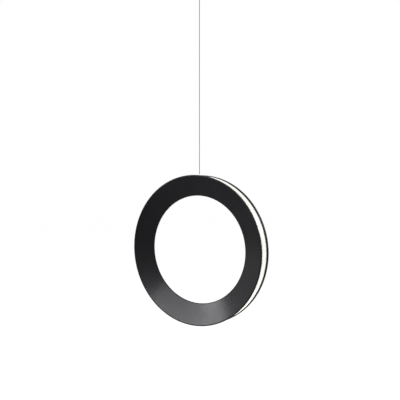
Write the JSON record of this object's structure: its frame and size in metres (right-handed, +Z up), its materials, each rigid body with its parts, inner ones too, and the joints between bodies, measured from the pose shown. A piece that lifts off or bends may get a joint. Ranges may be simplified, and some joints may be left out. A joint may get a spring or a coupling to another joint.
{
  "type": "ring pendant light",
  "caption": "Upright ring pendant: black wedge-section ring with a luminous opal band round its rim, hung on a thin wire from a round ceiling canopy.",
  "frame": {"origin": "middle of the ceiling plate's upper face, on the wire's line", "axes": "+Z up, towards the ceiling; the ring's axis lies along Y and its dished face looks towards -Y; +X to the right seen from the front"},
  "size_m": [0.4011, 0.12, 0.9632],
  "materials": {
    "black_shell": "matt black powder coat",
    "black_canopy": "matt black powder coat",
    "black_screw": "black oxide",
    "zinc_screw": "zinc plated",
    "brass_part": "turned",
    "opal_diffuser": "opal acrylic, lit",
    "carrier_aluminium": "mill",
    "white_board": "white solder mask",
    "diode": "phosphor resin",
    "wire_jacket": "clear jacket over tinned braid",
    "nickel_part": "satin nickel",
    "steel_part": "hardened steel",
    "plate_steel": "zinc plated sheet",
    "white_plastic": "moulded",
    "grey_plastic": "moulded",
    "black_plastic": "moulded",
    "black_rubber": "moulded",
    "lead_insulation": "silicone"
  },
  "bodies": {
    "canopy": {"canopy_cover": "black_canopy", "canopy_side_screws": "black_screw", "ceiling_plate": "plate_steel", "entry_grommet": "black_rubber", "driver_case": "white_plastic", "driver_end_caps": "grey_plastic", "driver_screws": "zinc_screw", "strain_clamp": "white_plastic", "strain_clamp_screws": "zinc_screw", "earth_screw": "brass_part", "terminal_block": "white_plastic", "terminal_screws": "zinc_screw", "cable_coupler": "grey_plastic", "input_leads": "lead_insulation", "output_leads": "lead_insulation", "ball_seat": "black_plastic", "cable_tail": "wire_jacket"},
    "gripper": {"swivel_ball": "nickel_part", "gripper_barrel": "nickel_part", "gripper_spring": "steel_part", "gripper_core": "wire_jacket"},
    "plunger": {"gripper_plunger": "nickel_part", "gripper_balls": "steel_part"},
    "wire": {"suspension_cable": "wire_jacket", "cable_ferrule": "nickel_part"},
    "ring": {"front_shell": "black_shell", "rear_shell": "black_shell", "diffuser_hoop": "opal_diffuser", "led_carrier_hoop": "carrier_aluminium", "led_strip": "white_board", "led_chips": "diode", "hoop_blocks": "carrier_aluminium", "shell_screws": "black_screw", "hoop_screws": "zinc_screw", "boss_insulator": "white_plastic", "cable_boss": "black_shell", "boss_cap": "white_plastic", "feed_block": "white_plastic", "feed_leads": "lead_insulation"}
  },
  "joints": [
    {"name": "pendant_sway", "type": "hinge", "parent": "canopy", "child": "gripper", "pos_m": [0, 0, -0.024], "axis": [0, 1, 0], "range_deg": [-25, 25]},
    {"name": "wire_swing", "type": "hinge", "parent": "gripper", "child": "wire", "pos_m": [0, 0, -0.062], "axis": [1, 0, 0], "range_deg": [-25, 25]},
    {"name": "ring_turn", "type": "hinge", "parent": "wire", "child": "ring", "pos_m": [0, 0, -0.562], "axis": [0, 0, 1], "range_deg": [-180, 180]},
    {"name": "plunger_push", "type": "slide", "parent": "gripper", "child": "plunger", "axis": [0, 0, 1], "range_m": [0, 0.0025], "stiffness_N_per_m": 600, "springref_m": -0.002, "deforming": ["gripper_spring"]}
  ]
}
